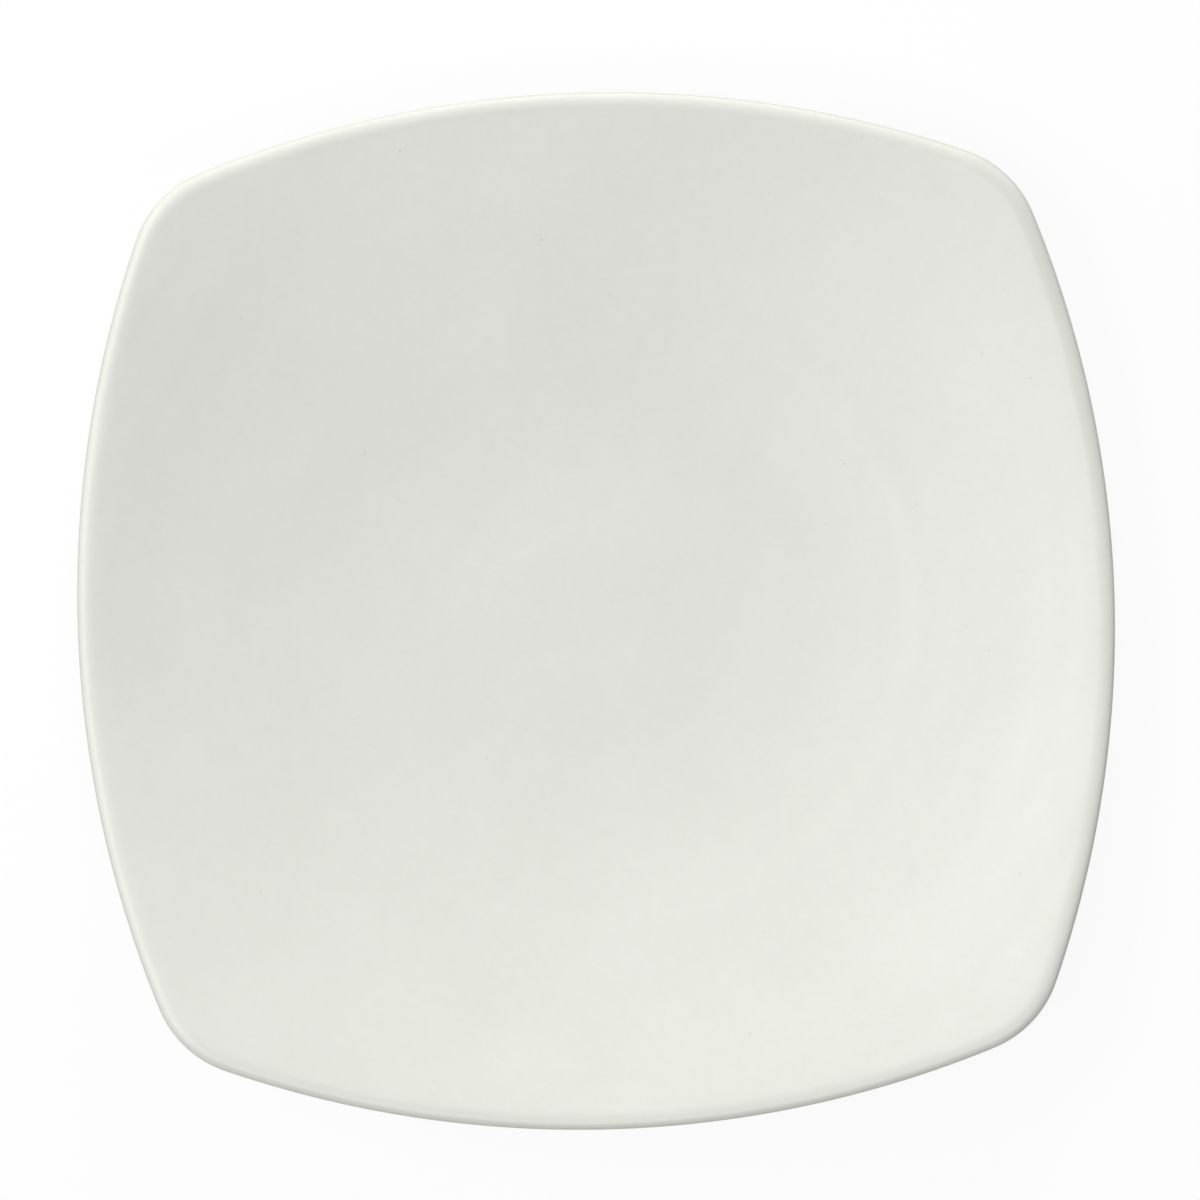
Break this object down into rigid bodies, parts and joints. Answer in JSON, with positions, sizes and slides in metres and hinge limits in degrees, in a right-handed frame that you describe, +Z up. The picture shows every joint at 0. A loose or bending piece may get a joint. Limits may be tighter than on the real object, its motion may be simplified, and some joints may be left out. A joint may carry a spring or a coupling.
{
  "type": "plate",
  "caption": "Rounded-square coupe dinner plate in off-white glazed stoneware, dished with raised corners, on a round foot ring with a bare clay edge.",
  "frame": {"origin": "centre of the foot ring, on the table that the plate stands on", "axes": "+Z up through the middle of the plate; +X and +Y through the middles of two neighbouring sides, with the corners on the diagonals"},
  "size_m": [0.27, 0.27, 0.0304],
  "materials": {
    "glaze": "satin",
    "bare_clay": "matte"
  },
  "bodies": {
    "root": {"clay_body": "bare_clay", "main_glaze": "glaze", "foot_recess_glaze": "glaze"}
  },
  "joints": []
}
